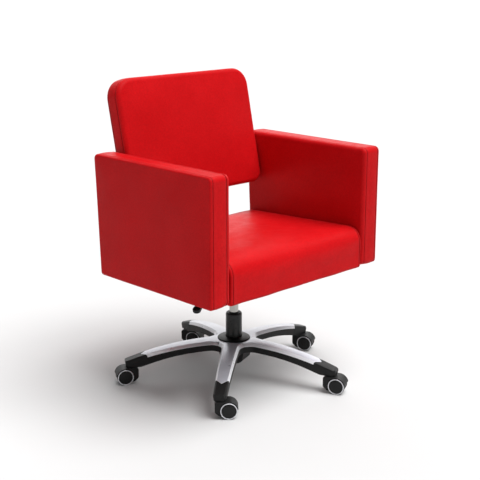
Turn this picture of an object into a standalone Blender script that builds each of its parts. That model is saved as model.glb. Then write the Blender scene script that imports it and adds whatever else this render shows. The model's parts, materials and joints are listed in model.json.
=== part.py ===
"""Salon armchair on a swivelling gas lift and a five-star castor base.

Metres, +Z up. The origin is on the floor under the column. The chair faces -Y, so the sitter's
right hand is on the -X side. Each sub-part is one named object; moving pieces have their origin,
or their parent empty, on their joint's axis.
"""

import math

import bmesh
import bpy
from mathutils import Matrix, Vector
from mathutils.geometry import interpolate_bezier

# ---- Driving dimensions ------------------------------------------------------------------------
GAP = 0.0003  # air between neighbouring pieces
BOLT_RADIUS = 0.004
BOLT_HOLE_RADIUS = 0.0044

# Upholstered body
HALF_WIDTH = 0.345
ARM_THICKNESS = 0.072
ARM_FRONT_Y = -0.273
ARM_REAR_BOTTOM_Y = 0.2097
ARM_REAR_TOP_Y = 0.2250
ARM_BOTTOM_Z = 0.3528
ARM_TOP_Z = 0.7132
ARM_INNER_X = HALF_WIDTH - ARM_THICKNESS
CORE_INNER_X = ARM_INNER_X + 0.016
CORE_OUTER_X = HALF_WIDTH - 0.016
CORE_END_X = CORE_INNER_X + 0.030  # where the bolts end inside the arm cores

SEAT_HALF_WIDTH = ARM_INNER_X - 0.0015
SEAT_BOTTOM_Z = 0.3490
SEAT_FRONT_TOP_Z = 0.4754
SEAT_REAR_TOP_Z = 0.4541
SEAT_REAR_Y = 0.205
FRAME_HALF_WIDTH = SEAT_HALF_WIDTH - 0.009
FRAME_FRONT_Y = -0.258
FRAME_REAR_Y = 0.190
FRAME_TOP_Z = 0.3950
RAIL_WIDTH = 0.024
CROSS_RAIL_WIDTH = 0.044
BOARD_THICKNESS = 0.012

BACK_HALF_WIDTH = 0.260
BACK_HEIGHT = 0.3645
BACK_THICKNESS = 0.058
BACK_TILT = math.radians(12.36)
BACK_FOOT = Vector((0.0, 0.1356, 0.5620))  # lower front edge, middle
BACK_BOARD_FRONT = 0.030
BACK_BOARD_THICKNESS = 0.018
BACK_BOARD_HALF_WIDTH = 0.236
BACK_BOARD_HEIGHT = 0.335
STUD_HEIGHTS = (0.055, 0.125)

# Five-star base
LEG_COUNT = 5
FIRST_LEG_ANGLE = -51.0  # degrees from -Y towards +X
HALF_SECTOR = math.pi / LEG_COUNT
HUB_BORE_RADIUS = 0.0258
HUB_TOP_Z = 0.1229
HUB_BOTTOM_Z = 0.0600
HUB_REACH = 0.040
ARCH_START = 0.050
LEG_REACH = 0.338
LEG_TIP_TOP_Z = 0.0735
LEG_PAD_Z = 0.0542
LEG_PAD_START = 0.297
LEG_DEPTH = 0.029
LEG_ROOT_HALF_WIDTH = 0.0270
LEG_TIP_HALF_WIDTH = 0.0185
WEB_RADIUS = 0.035
COVER_REACH = 0.2896
COVER_POINT = 0.019  # depth of the V that ends the silver cover
COVER_DROP = 0.0080
COVER_RIM = 0.0015
COVER_SHELL = 0.0025

# Column and gas lift
TUBE_RADIUS = 0.025
TUBE_TOP_Z = 0.2030
TUBE_BOTTOM_Z = 0.0450
CYLINDER_RADIUS = 0.014
CYLINDER_TOP_Z = 0.3260
CYLINDER_BOTTOM_Z = 0.1520
SOCKET_RADIUS = 0.0143

# Seat plate and lever
PLATE_TOP_Z = 0.3490
PLATE_THICKNESS = 0.0035
PLATE_HALF_X = 0.100
PLATE_HALF_Y = 0.085
PLATE_BOLT_X = 0.080
PLATE_BOLT_Y = 0.065
LEVER_PIVOT = Vector((-0.035, 0.0, 0.3358))
LEVER_RADIUS = 0.004

# Castors
STEM_REACH = 0.317
CASTOR_HEADINGS = (48.0, 26.0, 26.0, 26.0, -118.0)  # way each wheel pair trails, like the legs
TRAIL = 0.024
WHEEL_RADIUS = 0.025
WHEEL_INNER_Y = 0.0068
HOOD_TOP_Z = 0.0530
HOOD_HALF_WIDTH = 0.0225
HOOD_OUTER_RADIUS = 0.0280
HOOD_INNER_RADIUS = 0.0262
HOOD_WEB_HALF = 0.0060


# ---- Helpers -----------------------------------------------------------------------------------
def clear_scene():
    for old in list(bpy.data.objects):
        bpy.data.objects.remove(old, do_unlink=True)


def make_material(name, colour, roughness, metallic=0.0):
    material = bpy.data.materials.new(name)
    material.use_nodes = True
    shader = material.node_tree.nodes["Principled BSDF"]
    shader.inputs["Base Color"].default_value = (*colour, 1.0)
    shader.inputs["Roughness"].default_value = roughness
    shader.inputs["Metallic"].default_value = metallic
    return material


def finish_mesh(bm, name, material, sharp_degrees=35.0):
    """Weld, turn every face outward and wrap the bmesh in a mesh that carries the material."""
    bmesh.ops.remove_doubles(bm, verts=bm.verts, dist=1e-6)
    bmesh.ops.recalc_face_normals(bm, faces=bm.faces)
    mesh = bpy.data.meshes.new(name)
    bm.to_mesh(mesh)
    bm.free()
    mesh.shade_smooth()
    mesh.set_sharp_from_angle(angle=math.radians(sharp_degrees))
    if material:
        mesh.materials.append(material)
    return mesh


def place(name, mesh, location=(0.0, 0.0, 0.0), turn_z=0.0, parent=None):
    piece = bpy.data.objects.new(name, mesh)
    bpy.context.scene.collection.objects.link(piece)
    piece.location = location
    piece.rotation_euler = (0.0, 0.0, turn_z)
    piece.parent = parent
    return piece


def add_empty(name, location, rotation=(0.0, 0.0, 0.0)):
    empty = bpy.data.objects.new(name, None)
    bpy.context.scene.collection.objects.link(empty)
    empty.location = location
    empty.rotation_euler = rotation
    return empty


def arc(centre, radius, start, end, steps):
    """Points on an arc in a plane; angles in degrees."""
    points = []
    for i in range(steps + 1):
        angle = math.radians(start + (end - start) * i / steps)
        points.append((centre[0] + radius * math.cos(angle), centre[1] + radius * math.sin(angle)))
    return points


def rounded(corners, steps=4):
    """A closed outline with each corner (a, b, radius) turned into a tangent arc."""
    points = []
    for i, (a, b, radius) in enumerate(corners):
        here = Vector((a, b))
        before = (Vector(corners[i - 1][:2]) - here).normalized()
        after = (Vector(corners[(i + 1) % len(corners)][:2]) - here).normalized()
        if radius == 0.0:
            points.append((a, b))
            continue
        half = before.angle(after) / 2
        centre = here + (before + after).normalized() * radius / math.sin(half)
        first = here + before * radius / math.tan(half) - centre
        last = here + after * radius / math.tan(half) - centre
        swing = first.angle_signed(last)
        for k in range(steps + 1):
            spoke = Vector(first)
            turn = -swing * k / steps
            spoke.rotate(Matrix.Rotation(turn, 2))
            points.append(tuple(centre + spoke))
    return points


def prism(name, outline, axis, low, high, material):
    """Extrude a closed outline along X, Y or Z; the outline holds the other two coordinates."""
    def to_space(a, b, along):
        return {"X": (along, a, b), "Y": (a, along, b), "Z": (a, b, along)}[axis]

    bm = bmesh.new()
    face = bm.faces.new([bm.verts.new(to_space(a, b, low)) for a, b in outline])
    lid = bmesh.ops.extrude_face_region(bm, geom=[face])["geom"]
    shift = Vector(to_space(0.0, 0.0, high - low))
    moved = [v for v in lid if isinstance(v, bmesh.types.BMVert)]
    bmesh.ops.translate(bm, verts=moved, vec=shift)
    return finish_mesh(bm, name, material)


def box(name, low, high, material):
    outline = [(low[0], low[1]), (high[0], low[1]), (high[0], high[1]), (low[0], high[1])]
    return prism(name, outline, "Z", low[2], high[2], material)


def turned(name, profile, segments, material, axis="Z", closed=False):
    """Spin a profile of (radius, height) points about an axis; closed profiles make rings."""
    about = {"X": Vector((1, 0, 0)), "Y": Vector((0, 1, 0)), "Z": Vector((0, 0, 1))}[axis]

    def to_space(radius, along):
        return {"X": (along, radius, 0), "Y": (radius, along, 0), "Z": (radius, 0, along)}[axis]

    bm = bmesh.new()
    verts = [bm.verts.new(to_space(r, h)) for r, h in profile]
    edges = [bm.edges.new(pair) for pair in zip(verts, verts[1:])]
    if closed:
        edges.append(bm.edges.new((verts[-1], verts[0])))
    bmesh.ops.spin(bm, geom=verts + edges, axis=about, cent=(0, 0, 0), steps=segments,
                   angle=math.tau, use_merge=True)
    return finish_mesh(bm, name, material)


def rod(name, radius, low, high, segments, material, axis="Z"):
    return turned(name, [(0, low), (radius, low), (radius, high), (0, high)], segments, material, axis)


def bevel(piece, width, segments):
    modifier = piece.modifiers.new("rounded edges", "BEVEL")
    modifier.width = width
    modifier.segments = segments
    modifier.limit_method = "ANGLE"
    modifier.angle_limit = math.radians(50)


def as_tool(piece):
    piece.hide_render = True
    piece.display_type = "WIRE"
    return piece


def combine(piece, tool, operation="DIFFERENCE"):
    modifier = piece.modifiers.new(operation.lower(), "BOOLEAN")
    modifier.operation = operation
    modifier.object = as_tool(tool)


def on_side(side, name):
    return name + ("_left" if side > 0 else "_right")


def leg_angle(index):
    """Azimuth of a leg as a turn about Z that takes +X to the leg's direction."""
    return math.radians(FIRST_LEG_ANGLE + index * 360.0 / LEG_COUNT - 90.0)


# ---- Five-star base ----------------------------------------------------------------------------
def leg_top(s):
    arch = (HUB_TOP_Z - LEG_TIP_TOP_Z) / (LEG_REACH - ARCH_START) ** 2
    return HUB_TOP_Z - arch * max(0.0, s - ARCH_START) ** 2


def leg_bottom(s):
    if s <= HUB_REACH:
        return HUB_BOTTOM_Z
    if s >= LEG_PAD_START:
        return LEG_PAD_Z
    return leg_top(s) - LEG_DEPTH


def web_end():
    """Distance along a leg where the fillet between two legs is tangent to the leg's side."""
    return (LEG_ROOT_HALF_WIDTH + WEB_RADIUS) / math.tan(HALF_SECTOR)


def leg_half_width(s):
    """Half width of the star across a leg at distance s, fillet between the legs included."""
    share = (s - web_end()) / (LEG_REACH - web_end())
    straight = LEG_ROOT_HALF_WIDTH + (LEG_TIP_HALF_WIDTH - LEG_ROOT_HALF_WIDTH) * max(0.0, share)
    inward = web_end() - s
    if inward <= 0:
        return straight
    return straight + WEB_RADIUS - math.sqrt(max(0.0, WEB_RADIUS ** 2 - inward ** 2))


def web_start():
    """Distance along a leg to the deepest point of the fillet, on the line between two legs."""
    return web_end() - WEB_RADIUS * math.cos(HALF_SECTOR)


def chevron(s):
    """How far the rows lean back at the leg's sides, so that they match the cover's V."""
    before = (s - 0.16) / (COVER_REACH - 0.16)
    after = (LEG_REACH - s) / (LEG_REACH - COVER_REACH)
    return COVER_POINT * max(0.0, min(before, after, 1.0))


def hub_ring(z, columns):
    """Inner row of a sector: points of the bore's circle, from one neighbour to the other."""
    angles = [share * HALF_SECTOR for share, _, _ in columns]
    return [(HUB_BORE_RADIUS * math.cos(a), HUB_BORE_RADIUS * math.sin(a), z) for a in angles]


def hub_row(s, z, columns):
    """A row inside the hub, straight across a sector from neighbour to neighbour."""
    reach = math.tan(HALF_SECTOR) * s
    return [(s, share * reach, z) for share, _, _ in columns]


def edge_place(s, share, inset):
    """Plan position of a column: across the leg, or at the fillet's deepest point on the line
    between two legs, where both neighbours have to meet."""
    if s <= web_start() and abs(share) == 1.0:
        reach = web_start() / math.cos(HALF_SECTOR) - inset
        return reach * math.cos(HALF_SECTOR), reach * math.sin(HALF_SECTOR) * share
    return s, share * (leg_half_width(s) - inset)


def lean_back(s, share, inset):
    """Where a column stands along the leg: further back towards the sides, to suit the cover's V."""
    return s - chevron(s) * abs(share) * (1.0 - inset / leg_half_width(s))


def leg_row(s, columns):
    """A row across a leg. Each column is (share of the width, inset, height above the leg's top)."""
    row = []
    for share, inset, height in columns:
        along = lean_back(s, share, inset)
        row.append((*edge_place(along, share, inset), leg_top(along) + height))
    return row


def mirrored(columns):
    """Complete a list of columns, given from the leg's side to its middle."""
    return [(-u, inset, h) for u, inset, h in columns] + [c for c in reversed(columns[:-1])]


# Columns of a leg's underside: (share of the width, inset, part of the channel's roof)
UNDERSIDE = mirrored([(1.0, 0.002, False), (1.0, 0.0052, False), (1.0, 0.0065, True), (0.5, 0.0, True),
                      (0.0, 0.0, True)])


def star_body(name, rows, first_free_row, material):
    """Join the sectors of a star whose rows are (top points, bottom points) along one leg."""
    bm = bmesh.new()
    for index in range(LEG_COUNT):
        turn = leg_angle(index)
        cos, sin = math.cos(turn), math.sin(turn)

        def make(points):
            return [bm.verts.new((x * cos - y * sin, x * sin + y * cos, z)) for x, y, z in points]

        grid = [(make(top), make(bottom)) for top, bottom in rows]
        for i, (near, far) in enumerate(zip(grid, grid[1:])):
            for level in (0, 1):
                for j in range(len(near[level]) - 1):
                    if (near[level][j].co - near[level][j + 1].co).length > 1e-6:
                        bm.faces.new((near[level][j], near[level][j + 1], far[level][j + 1], far[level][j]))
            if i >= first_free_row:
                for j in (0, -1):
                    bm.faces.new((near[0][j], far[0][j], far[1][j], near[1][j]))
        for top, bottom in (grid[0], grid[-1]):
            for j in range(len(top) - 1):
                bm.faces.new((top[j], top[j + 1], bottom[j + 1], bottom[j]))
    bmesh.ops.remove_doubles(bm, verts=bm.verts, dist=1e-5)
    return place(name, finish_mesh(bm, name, material, sharp_degrees=30.0))


def leg_stations():
    """Distances along a leg for the rows between the hub and the end of the cover."""
    fillet = [web_start() + (web_end() - web_start()) * i / 3 for i in range(4)]
    return fillet + [0.115, 0.150, 0.190, 0.230, 0.262]


def build_cover(material):
    """Silver cover over the hub and legs, bevelled along its sides and ending in a V."""
    top = mirrored([(1.0, 0.0, -COVER_DROP), (0.74, 0.0, 0.0), (0.37, 0.0, 0.0009), (0.0, 0.0, 0.0012)])
    rim = -COVER_DROP - COVER_RIM
    under = mirrored([(1.0, 0.0, rim), (1.0, 0.0022, rim), (0.74, 0.0012, -COVER_SHELL),
                      (0.0, 0.0, -COVER_SHELL)])
    inner = HUB_TOP_Z - COVER_SHELL
    rows = [(hub_ring(HUB_TOP_Z, top), hub_ring(inner, under))]
    for s in (HUB_REACH, web_start() - 0.007):
        rows.append((hub_row(s, HUB_TOP_Z, top), hub_row(s, inner, under)))
    for s in leg_stations() + [COVER_REACH]:
        rows.append((leg_row(s, top), leg_row(s, under)))
    return star_body("base_trim", rows, 3, material)


def build_frame(material):
    """Black nylon star: a hub with a bore, and legs with a channel under them and solid tips."""
    shoulder = -COVER_DROP - COVER_RIM - GAP
    covered = mirrored([(1.0, 0.001, shoulder), (1.0, 0.0028, shoulder),
                        (0.74, 0.0018, -COVER_SHELL - GAP), (0.37, 0.0, -COVER_SHELL - GAP),
                        (0.0, 0.0, -COVER_SHELL - GAP)])
    bare = mirrored([(1.0, 0.0, -COVER_DROP), (0.92, 0.0, -COVER_DROP / 3), (0.74, 0.0, 0.0),
                     (0.37, 0.0, 0.0), (0.0, 0.0, 0.0)])
    seat = HUB_TOP_Z - COVER_SHELL - GAP
    step = web_start() - 0.007
    rows = [(hub_ring(seat, covered), hub_ring(HUB_BOTTOM_Z, UNDERSIDE)),
            (hub_row(HUB_REACH, seat, covered), hub_row(HUB_REACH, HUB_BOTTOM_Z, UNDERSIDE)),
            (hub_row(step, seat, covered), hub_row(step, leg_top(step) - LEG_DEPTH, UNDERSIDE))]
    for s in leg_stations() + [COVER_REACH + GAP]:
        rows.append((leg_row(s, covered), underside(s, hollow=0.1 < s < 0.27)))
    for s in (COVER_REACH + 0.0005, LEG_PAD_START + 0.006, LEG_REACH - 0.005):
        rows.append((leg_row(s, bare), underside(s, hollow=False)))
    tip = [(LEG_REACH, y * 0.80, z) for _, y, z in leg_row(LEG_REACH, bare)]
    foot = [(LEG_REACH - 0.002, y * 0.80, z) for _, y, z in underside(LEG_REACH, hollow=False)]
    rows.append((tip, foot))
    frame = star_body("base_frame", rows, 3, material)
    for index in range(LEG_COUNT):
        combine(frame, stem_socket(index))
    return frame


def underside(s, hollow):
    """Bottom points of a leg's row: two lips with a channel between them, or a flat bottom."""
    row = []
    for share, inset, roof in UNDERSIDE:
        along = lean_back(s, share, inset)
        z = leg_top(along) - 0.012 if roof and hollow else leg_bottom(s)
        row.append((*edge_place(along, share, inset), z))
    return row


def stem_place(index):
    turn = leg_angle(index)
    return Vector((STEM_REACH * math.cos(turn), STEM_REACH * math.sin(turn), 0.0))


def stem_socket(index):
    mesh = rod("stem_socket", 0.0058, 0.050, 0.0695, 16, None)
    return place(f"stem_socket_{index + 1}", mesh, stem_place(index))


# ---- Column and gas lift -----------------------------------------------------------------------
def build_column(black_metal, black_plastic, bearing_steel):
    z = HUB_TOP_Z + GAP
    collar = [(HUB_BORE_RADIUS, z), (0.0505, z), (0.0505, z + 0.0018), (0.0470, z + 0.0040),
              (0.0300, z + 0.0060), (HUB_BORE_RADIUS, z + 0.0060)]
    place("hub_collar", turned("hub_collar", collar, 40, black_plastic, closed=True))
    tube = [(0.0056, TUBE_BOTTOM_Z), (TUBE_RADIUS, TUBE_BOTTOM_Z), (TUBE_RADIUS, TUBE_TOP_Z - 0.002),
            (TUBE_RADIUS - 0.001, TUBE_TOP_Z), (0.0212, TUBE_TOP_Z), (0.0212, 0.0485), (0.0056, 0.0485)]
    place("column_tube", turned("column_tube", tube, 32, black_metal, closed=True))
    z = TUBE_TOP_Z + GAP
    bush = [(SOCKET_RADIUS, 0.130), (0.0209, 0.130), (0.0209, z), (0.0237, z), (0.0237, z + 0.0012),
            (0.0218, z + 0.0030), (SOCKET_RADIUS, z + 0.0030)]
    place("column_bush", turned("column_bush", bush, 32, black_plastic, closed=True))
    race = [(0.0056, 0.0488), (0.0180, 0.0488), (0.0180, 0.0512), (0.0165, 0.0528), (0.0180, 0.0544),
            (0.0180, 0.0568), (0.0056, 0.0568)]
    place("thrust_bearing", turned("thrust_bearing", race, 24, bearing_steel, closed=True))


def build_gas_lift(chrome, steel, button_plastic):
    spindle = [(0, 0.038), (0.0050, 0.038), (0.0050, 0.0411), (0.0039, 0.0411), (0.0039, 0.0434),
               (0.0050, 0.0434), (0.0050, 0.0571), (0.0090, 0.0571), (0.0090, 0.0600), (0.0050, 0.0600),
               (0.0050, 0.181), (0.0098, 0.181), (0.0098, 0.193), (0, 0.193)]
    place("piston_rod", turned("piston_rod", spindle, 20, steel))
    clip = [(0.0042, 0.0415), (0.0090, 0.0415), (0.0090, 0.0430), (0.0042, 0.0430)]
    place("rod_clip", turned("rod_clip", clip, 20, steel, closed=True))
    top = CYLINDER_TOP_Z
    foot = CYLINDER_BOTTOM_Z
    sleeve = [(0, 0.300), (0.0105, 0.300), (0.0105, foot + 0.006), (0.0056, foot + 0.006), (0.0056, foot),
              (0.0125, foot), (CYLINDER_RADIUS, foot + 0.0015), (CYLINDER_RADIUS, 0.290), (0.0132, top),
              (0.0037, top), (0.0037, 0.314), (0, 0.314)]
    place("gas_cylinder", turned("gas_cylinder", sleeve, 32, chrome))
    pin = [(0, 0.3185), (0.0033, 0.3185), (0.0033, 0.3300), (0.0025, 0.3310), (0, 0.3310)]
    place("release_button", turned("release_button", pin, 16, button_plastic))


# ---- Seat plate and lever ----------------------------------------------------------------------
def build_seat_plate(material):
    under = PLATE_TOP_Z - PLATE_THICKNESS
    plate = place("seat_plate", box("seat_plate", (-PLATE_HALF_X, -PLATE_HALF_Y, under),
                                    (PLATE_HALF_X, PLATE_HALF_Y, PLATE_TOP_Z), material))
    for side in (-1, 1):
        edge = sorted((side * PLATE_HALF_Y, side * (PLATE_HALF_Y - 0.003)))
        skirt = box("skirt", (-PLATE_HALF_X, edge[0], 0.336), (PLATE_HALF_X, edge[1], under + 0.001), None)
        combine(plate, place(f"plate_skirt_{side}", skirt), "UNION")
        wall = sorted((side * 0.030, side * 0.033))
        cheek = box("cheek", (-0.060, wall[0], 0.290), (0.060, wall[1], under + 0.001), None)
        combine(plate, place(f"plate_cheek_{side}", cheek), "UNION")
    web = box("web", (-0.060, -0.0325, 0.290), (0.060, 0.0325, 0.293), None)
    combine(plate, place("plate_web", web), "UNION")
    combine(plate, place("plate_socket", rod("socket", 0.020, 0.286, 0.322, 32, None)), "UNION")
    combine(plate, place("socket_bore", rod("bore", SOCKET_RADIUS, 0.280, 0.323, 32, None)))
    combine(plate, place("pin_bore", rod("pin_bore", 0.0033, -0.04, 0.04, 16, None, "Y"), LEVER_PIVOT))
    for tool in plate_bolt_holes():
        combine(plate, tool)
    return plate


def plate_bolt_places():
    return [(x * PLATE_BOLT_X, y * PLATE_BOLT_Y) for x in (-1, 1) for y in (-1, 1)]


def plate_bolt_holes():
    tools = []
    for index, (x, y) in enumerate(plate_bolt_places()):
        mesh = rod("plate_bolt_hole", BOLT_HOLE_RADIUS, 0.340, 0.3865, 12, None)
        tools.append(place(f"plate_bolt_hole_{index + 1}", mesh, (x, y, 0.0)))
    return tools


def build_plate_bolts(material):
    head = PLATE_TOP_Z - PLATE_THICKNESS - GAP
    profile = [(0, head - 0.0055), (0.0065, head - 0.0055), (0.0065, head), (BOLT_RADIUS, head),
               (BOLT_RADIUS, 0.385), (0, 0.385)]
    mesh = turned("plate_bolt", profile, 12, material)
    for index, (x, y) in enumerate(plate_bolt_places()):
        place(f"plate_bolt_{index + 1}", mesh, (x, y, 0.0))


def sweep(name, points, radius, segments, material):
    """A round bar along a path, made of rings square to the path and two end faces."""
    bm = bmesh.new()
    rings = []
    for i, point in enumerate(points):
        ahead = points[min(i + 1, len(points) - 1)] - points[max(i - 1, 0)]
        side = ahead.cross(Vector((0, 0, 1))).normalized()
        up = side.cross(ahead).normalized()
        angles = [math.tau * k / segments for k in range(segments)]
        ring = [bm.verts.new(point + (side * math.cos(a) + up * math.sin(a)) * radius) for a in angles]
        rings.append(ring)
    for near, far in zip(rings, rings[1:]):
        for k in range(segments):
            following = (k + 1) % segments
            bm.faces.new((near[k], near[following], far[following], far[k]))
    bm.faces.new(rings[0])
    bm.faces.new(rings[-1])
    return finish_mesh(bm, name, material)


def lever_path():
    """Over the button and the pivot, then down and forward to the paddle; relative to the pivot."""
    reach = Vector((-0.148, -0.052, -0.050))
    start = Vector((0.038, 0, 0))
    bend = Vector((-0.022, 0, 0))
    outer = interpolate_bezier(bend, bend + Vector((-0.050, 0, 0)), reach * 0.62, reach, 10)
    return [start] + outer


def build_lever(steel, paddle_plastic, pin_steel):
    path = lever_path()
    lever = place("lever_rod", sweep("lever_rod", path, LEVER_RADIUS, 12, steel), LEVER_PIVOT)
    combine(lever, place("lever_eye", rod("eye", 0.0080, -0.008, 0.008, 20, None, "Y"), LEVER_PIVOT), "UNION")
    combine(lever, place("eye_bore", rod("bore", 0.0033, -0.02, 0.02, 16, None, "Y"), LEVER_PIVOT))
    pin = [(0, -0.0350), (0.0045, -0.0350), (0.0045, -0.0333), (0.0030, -0.0333), (0.0030, 0.0333),
           (0.0045, 0.0333), (0.0045, 0.0350), (0, 0.0350)]
    place("lever_pin", turned("lever_pin", pin, 16, pin_steel, "Y"), LEVER_PIVOT)
    along = (path[-1] - path[-2]).normalized()
    paddle = place("lever_paddle", paddle_mesh(paddle_plastic), LEVER_PIVOT + path[-1])
    paddle.rotation_euler = along.to_track_quat("X", "Z").to_euler()
    bevel(paddle, 0.0035, 2)
    hole = place("paddle_hole", rod("hole", LEVER_RADIUS + GAP, -0.050, GAP, 16, None, "X"),
                 LEVER_PIVOT + path[-1])
    hole.rotation_euler = paddle.rotation_euler
    combine(paddle, hole)


def paddle_mesh(material):
    """Flat grip whose inner end slips over the bar; +X runs outward, the bar ends at the origin."""
    outline = rounded([(-0.022, -0.0075, 0.003), (0.000, -0.0080, 0.0), (0.040, -0.0140, 0.011),
                       (0.040, 0.0140, 0.011), (0.000, 0.0080, 0.0), (-0.022, 0.0075, 0.003)])
    return prism("lever_paddle", outline, "Z", -0.0062, 0.0062, material)


# ---- Seat --------------------------------------------------------------------------------------
def build_seat(vinyl, hardwood, plywood):
    profile = rounded([(ARM_FRONT_Y, SEAT_BOTTOM_Z, 0.0), (SEAT_REAR_Y, SEAT_BOTTOM_Z, 0.0),
                       (SEAT_REAR_Y, SEAT_REAR_TOP_Z, 0.022), (ARM_FRONT_Y, SEAT_FRONT_TOP_Z, 0.042)], 6)
    cushion = place("seat_cushion", prism("seat_cushion", profile, "X", -SEAT_HALF_WIDTH, SEAT_HALF_WIDTH,
                                          vinyl))
    bevel(cushion, 0.006, 2)
    board_top = FRAME_TOP_Z + GAP + BOARD_THICKNESS
    side, front, rear = FRAME_HALF_WIDTH + GAP, FRAME_FRONT_Y - GAP, FRAME_REAR_Y + GAP
    recess = box("recess", (-side, front, 0.33), (side, rear, board_top + GAP), None)
    combine(cushion, place("seat_recess", recess))
    frame = place("seat_frame", box("seat_frame", (-FRAME_HALF_WIDTH, FRAME_FRONT_Y, PLATE_TOP_Z + GAP),
                                    (FRAME_HALF_WIDTH, FRAME_REAR_Y, FRAME_TOP_Z), hardwood))
    for index, (low, high) in enumerate(frame_windows()):
        inner = FRAME_HALF_WIDTH - RAIL_WIDTH
        window = box("window", (-inner, low, 0.34), (inner, high, 0.41), None)
        combine(frame, place(f"frame_window_{index + 1}", window))
    place("seat_board", box("seat_board", (-FRAME_HALF_WIDTH, FRAME_FRONT_Y, FRAME_TOP_Z + GAP),
                            (FRAME_HALF_WIDTH, FRAME_REAR_Y, board_top), plywood))
    return cushion, frame


def frame_windows():
    """Front and rear ends of the three openings between the frame's rails."""
    half = CROSS_RAIL_WIDTH / 2
    return ((FRAME_FRONT_Y + RAIL_WIDTH, -PLATE_BOLT_Y - half), (-PLATE_BOLT_Y + half, PLATE_BOLT_Y - half),
            (PLATE_BOLT_Y + half, FRAME_REAR_Y - RAIL_WIDTH))


# ---- Arms --------------------------------------------------------------------------------------
def arm_outline(front, top, rear, bottom_z, radius):
    """Side outline of an arm, drawn in by the given margins."""
    slope = (ARM_REAR_TOP_Y - ARM_REAR_BOTTOM_Y) / (ARM_TOP_Z - ARM_BOTTOM_Z)
    top_z = ARM_TOP_Z - top
    rear_low = ARM_REAR_BOTTOM_Y - rear + slope * (bottom_z - ARM_BOTTOM_Z)
    rear_high = ARM_REAR_BOTTOM_Y - rear + slope * (top_z - ARM_BOTTOM_Z)
    return rounded([(ARM_FRONT_Y + front, bottom_z, 0.0), (rear_low, bottom_z, 0.0),
                    (rear_high, top_z, radius), (ARM_FRONT_Y + front, top_z, radius)])


def build_arm(side, vinyl, hardwood):
    near, far = sorted((side * ARM_INNER_X, side * HALF_WIDTH))
    name = on_side(side, "arm")
    arm = place(name, prism(name, arm_outline(0, 0, 0, ARM_BOTTOM_Z, 0.014), "X", near, far, vinyl))
    bevel(arm, 0.009, 2)
    margins = (0.020, 0.016, 0.010)
    near, far = sorted((side * (CORE_INNER_X - GAP), side * (CORE_OUTER_X + GAP)))
    hollow = arm_outline(*(m - GAP for m in margins), ARM_BOTTOM_Z - 0.02, 0.006)
    combine(arm, place(on_side(side, "arm_hollow"), prism("hollow", hollow, "X", near, far, None)))
    near, far = sorted((side * CORE_INNER_X, side * CORE_OUTER_X))
    name = on_side(side, "arm_core")
    core = place(name, prism(name, arm_outline(*margins, ARM_BOTTOM_Z + 0.001, 0.006), "X", near, far, hardwood))
    return arm, core


def arm_bolt_places():
    return {"front": -0.180, "rear": 0.130}


def build_arm_bolts(side, arm, core, cushion, frame, steel):
    """Two bolts that hold an arm: from inside the seat frame's rail into the arm's core."""
    head = FRAME_HALF_WIDTH - RAIL_WIDTH - GAP
    profile = [(0, side * (head - 0.0055)), (0.0065, side * (head - 0.0055)), (0.0065, side * head),
               (BOLT_RADIUS, side * head), (BOLT_RADIUS, side * CORE_END_X), (0, side * CORE_END_X)]
    mesh = turned(on_side(side, "arm_bolt"), profile, 12, steel, "X")
    low, high = sorted((side * head, side * (CORE_END_X + 0.001)))
    for label, y in arm_bolt_places().items():
        place(on_side(side, "arm_bolt") + f"_{label}", mesh, (0.0, y, 0.3720))
        tool = place(on_side(side, "arm_bolt_hole") + f"_{label}",
                     rod("arm_bolt_hole", BOLT_HOLE_RADIUS, low, high, 12, None, "X"), (0.0, y, 0.3720))
        for piece in (arm, core, cushion, frame):
            combine(piece, tool)


# ---- Backrest ----------------------------------------------------------------------------------
def build_backrest(vinyl, plywood):
    lean = add_empty("backrest_lean", BACK_FOOT, (-BACK_TILT, 0.0, 0.0))
    outline = rounded([(-BACK_HALF_WIDTH, 0.0, 0.035), (BACK_HALF_WIDTH, 0.0, 0.035),
                       (BACK_HALF_WIDTH, BACK_HEIGHT, 0.055), (-BACK_HALF_WIDTH, BACK_HEIGHT, 0.055)], 6)
    cushion = place("backrest_cushion", prism("backrest_cushion", outline, "Y", 0.0, BACK_THICKNESS, vinyl),
                    parent=lean)
    bevel(cushion, 0.012, 3)
    front, rear = BACK_BOARD_FRONT, BACK_BOARD_FRONT + BACK_BOARD_THICKNESS
    pocket = prism("pocket", board_outline(GAP, -0.020), "Y", front - GAP, rear + GAP, None)
    combine(cushion, place("board_pocket", pocket, parent=lean))
    board = place("backrest_board", prism("backrest_board", board_outline(0.0, 0.001), "Y", front, rear,
                                          plywood), parent=lean)
    return lean, cushion, board


def board_outline(margin, bottom):
    """The board inside the backrest, narrower at its lower corners."""
    wide, narrow = BACK_BOARD_HALF_WIDTH + margin, BACK_BOARD_HALF_WIDTH - 0.031 + margin
    top = BACK_BOARD_HEIGHT + margin
    return rounded([(-narrow, bottom, 0.0), (narrow, bottom, 0.0), (wide, 0.034, 0.0), (wide, top, 0.040),
                    (-wide, top, 0.040), (-wide, 0.034, 0.0)])


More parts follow.
